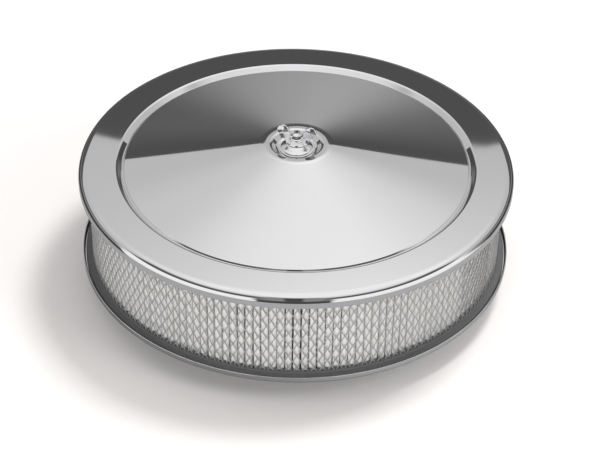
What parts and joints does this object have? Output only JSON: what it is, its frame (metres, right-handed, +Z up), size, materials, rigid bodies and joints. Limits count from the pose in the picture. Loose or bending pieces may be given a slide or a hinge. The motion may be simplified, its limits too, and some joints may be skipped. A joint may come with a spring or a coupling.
{
  "type": "carburetor air cleaner",
  "caption": "Round chrome air cleaner: pressed lid with wing nut, pleated element in expanded metal, and drop base with a carburetor neck.",
  "frame": {"origin": "on the stud's axis, in the plane of the base's lowest face", "axes": "+Z up along the stud, from the carburetor to the wing nut; +Y to the back of the picture"},
  "size_m": [0.356, 0.356, 0.1402],
  "materials": {
    "lid_chrome": "polished chrome",
    "nut_chrome": "polished chrome",
    "pan_chrome": "polished chrome",
    "stud_zinc": "zinc plated",
    "screen_steel": "expanded metal",
    "filter_paper": "pleated paper",
    "seal_rubber": "moulded",
    "washer_rubber": "smooth",
    "gasket_rubber": "matte"
  },
  "bodies": {
    "cleaner": {"base_pan": "pan_chrome", "neck_gasket": "gasket_rubber", "bottom_seal": "seal_rubber", "top_seal": "seal_rubber", "pleated_media": "filter_paper", "inner_screen": "screen_steel", "outer_screen": "screen_steel", "lid": "lid_chrome", "mounting_stud": "stud_zinc"},
    "washer": {"wing_nut_washer": "washer_rubber"},
    "nut": {"wing_nut": "nut_chrome"}
  },
  "joints": [
    {"name": "nut_rise", "type": "slide", "parent": "cleaner", "child": "washer", "axis": [0, 0, 1], "range_m": [0, 0.00762]},
    {"name": "nut_turn", "type": "hinge", "parent": "washer", "child": "nut", "pos_m": [0, 0, 0.1188], "axis": [0, 0, 1], "range_deg": [0, 2160]}
  ],
  "couplings": [
    {"joint": "nut_rise", "follows": "nut_turn", "m_per_rad": 0.00020213}
  ]
}
